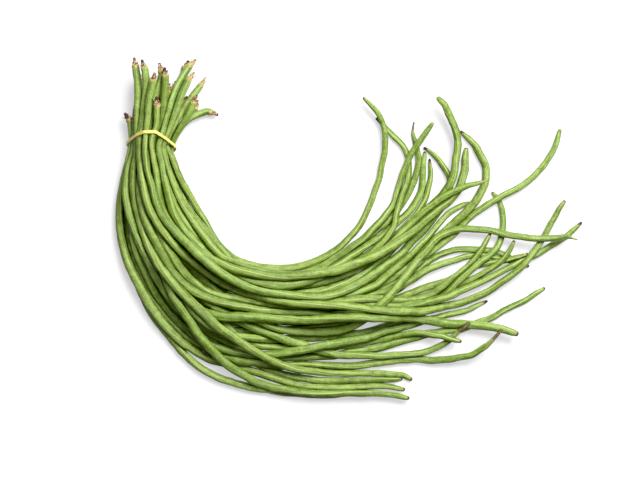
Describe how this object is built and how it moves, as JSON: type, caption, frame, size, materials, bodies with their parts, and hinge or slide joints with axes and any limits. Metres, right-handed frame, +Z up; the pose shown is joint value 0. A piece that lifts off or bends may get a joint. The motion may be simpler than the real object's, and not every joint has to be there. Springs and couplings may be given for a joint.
{
  "type": "yardlong bean bunch",
  "caption": "Bunch of fresh yardlong beans lying in a sweeping curve, tied near the stem ends with a flat rubber band, the beaked tips fanned out.",
  "frame": {"origin": "middle of the bunch's bounding box in plan, on the table that it lies on", "axes": "+X from the tied side towards the fanned tips, +Y towards the stem ends' side of the table, +Z up from the table"},
  "size_m": [0.4696, 0.3426, 0.0446],
  "materials": {
    "pod": "fresh green bean skin, finely striated, semi-matt, with brown dry ends",
    "band": "thin pale yellow rubber, semi-matt"
  },
  "bodies": {
    "root": {"bean_01": "pod", "bean_02": "pod", "bean_03": "pod", "bean_04": "pod", "bean_05": "pod", "bean_06": "pod", "bean_07": "pod", "bean_08": "pod", "bean_09": "pod", "bean_10": "pod", "bean_11": "pod", "bean_12": "pod", "bean_13": "pod", "bean_14": "pod", "bean_15": "pod", "bean_16": "pod", "bean_17": "pod", "bean_18": "pod", "bean_19": "pod", "bean_20": "pod", "bean_21": "pod", "bean_22": "pod", "bean_23": "pod", "bean_24": "pod", "bean_25": "pod", "bean_26": "pod", "bean_27": "pod", "bean_28": "pod", "bean_29": "pod", "bean_30": "pod", "bean_31": "pod", "bean_32": "pod", "bean_33": "pod", "bean_34": "pod", "bean_35": "pod", "rubber_band": "band"}
  },
  "joints": []
}
